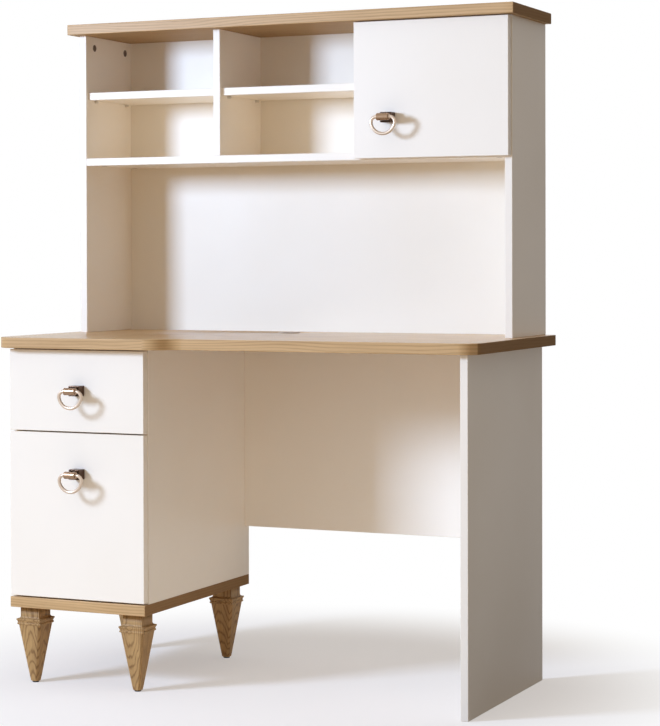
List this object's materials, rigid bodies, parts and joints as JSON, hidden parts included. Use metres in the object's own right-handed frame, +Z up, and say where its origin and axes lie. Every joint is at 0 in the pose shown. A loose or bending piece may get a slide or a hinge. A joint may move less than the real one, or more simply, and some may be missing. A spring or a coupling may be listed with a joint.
{
  "type": "desk with shelves",
  "caption": "White desk with oak tops, drawer pedestal on tapered legs, leg panel, and a shelf hutch with cubbies, a hinged door and ring pulls.",
  "frame": {"origin": "on the floor below the middle of the bounding box", "axes": "+X to the right seen from the sitter's side, +Y to the back, +Z up"},
  "size_m": [1.044, 0.541, 1.39],
  "materials": {
    "white_laminate": "satin white laminate on board",
    "white_back_board": "smooth white thin board",
    "drawer_board": "matt white board",
    "oak_laminate": "light oak grain with a soft sheen",
    "oak_leg": "light oak, satin varnish",
    "beech": "plain beech",
    "rose_gold": "polished rose gold plating",
    "dark_zinc": "dark die casting",
    "steel": "bright zinc plated",
    "black_plastic": "matt black",
    "taupe_plastic": "satin taupe",
    "clear_rubber": "soft translucent pad"
  },
  "bodies": {
    "frame": {"cable_grommet": "taupe_plastic", "cam_bolts": "steel", "cam_locks": "dark_zinc", "desktop": "oak_laminate", "dowels": "beech", "fixed_shelf": "white_laminate", "hinge_arms": "steel", "hinge_plates": "steel", "hutch_back": "white_back_board", "hutch_left_side": "white_laminate", "hutch_right_side": "white_laminate", "hutch_top": "oak_laminate", "left_divider": "white_laminate", "left_shelf": "white_laminate", "leg_bolts": "steel", "leg_front_left": "oak_leg", "leg_front_right": "oak_leg", "leg_glides": "black_plastic", "leg_rear_left": "oak_leg", "leg_rear_right": "oak_leg", "lower_cabinet_rails": "steel", "middle_shelf": "white_laminate", "modesty_panel": "white_laminate", "pedestal_back": "white_back_board", "pedestal_base": "oak_laminate", "pedestal_left_side": "white_laminate", "pedestal_rail": "white_laminate", "pedestal_right_side": "white_laminate", "right_divider": "white_laminate", "right_leg_panel": "white_laminate", "shelf_pins": "steel", "upper_cabinet_rails": "steel"},
    "upper_drawer": {"upper_drawer_front": "white_laminate", "upper_drawer_left_side": "drawer_board", "upper_drawer_right_side": "drawer_board", "upper_drawer_back": "drawer_board", "upper_drawer_bottom": "drawer_board", "upper_drawer_rails": "steel", "upper_pull_mount": "rose_gold", "upper_pull_screw": "steel"},
    "lower_drawer": {"lower_drawer_front": "white_laminate", "lower_drawer_left_side": "drawer_board", "lower_drawer_right_side": "drawer_board", "lower_drawer_back": "drawer_board", "lower_drawer_bottom": "drawer_board", "lower_drawer_rails": "steel", "lower_pull_mount": "rose_gold", "lower_pull_screw": "steel"},
    "upper_cages": {"upper_ball_cages": "steel"},
    "lower_cages": {"lower_ball_cages": "steel"},
    "door": {"cabinet_door": "white_laminate", "hinge_cups": "steel", "hinge_pins": "steel", "door_bumpers": "clear_rubber", "door_pull_mount": "rose_gold", "door_pull_screw": "steel"},
    "upper_ring": {"upper_pull_ring": "rose_gold"},
    "lower_ring": {"lower_pull_ring": "rose_gold"},
    "door_ring": {"door_pull_ring": "rose_gold"}
  },
  "joints": [
    {"name": "upper_drawer_slide", "type": "slide", "parent": "frame", "child": "upper_drawer", "axis": [0, -1, 0], "range_m": [0, 0.3]},
    {"name": "lower_drawer_slide", "type": "slide", "parent": "frame", "child": "lower_drawer", "axis": [0, -1, 0], "range_m": [0, 0.3]},
    {"name": "upper_cage_slide", "type": "slide", "parent": "frame", "child": "upper_cages", "axis": [0, -1, 0], "range_m": [0, 0.15]},
    {"name": "lower_cage_slide", "type": "slide", "parent": "frame", "child": "lower_cages", "axis": [0, -1, 0], "range_m": [0, 0.15]},
    {"name": "door_hinge", "type": "hinge", "parent": "frame", "child": "door", "pos_m": [0.491, 0.0485, 1.226], "axis": [0, 0, 1], "range_deg": [0, 95]},
    {"name": "upper_ring_hinge", "type": "hinge", "parent": "upper_drawer", "child": "upper_ring", "pos_m": [-0.333, -0.263, 0.6125], "axis": [-1, 0, 0], "range_deg": [-38, 135]},
    {"name": "lower_ring_hinge", "type": "hinge", "parent": "lower_drawer", "child": "lower_ring", "pos_m": [-0.333, -0.263, 0.4425], "axis": [-1, 0, 0], "range_deg": [-38, 135]},
    {"name": "door_ring_hinge", "type": "hinge", "parent": "door", "child": "door_ring", "pos_m": [0.242, 0.0065, 1.168], "axis": [-1, 0, 0], "range_deg": [-38, 135]}
  ],
  "couplings": [
    {"joint": "upper_cage_slide", "follows": "upper_drawer_slide", "ratio": 0.5},
    {"joint": "lower_cage_slide", "follows": "lower_drawer_slide", "ratio": 0.5}
  ]
}
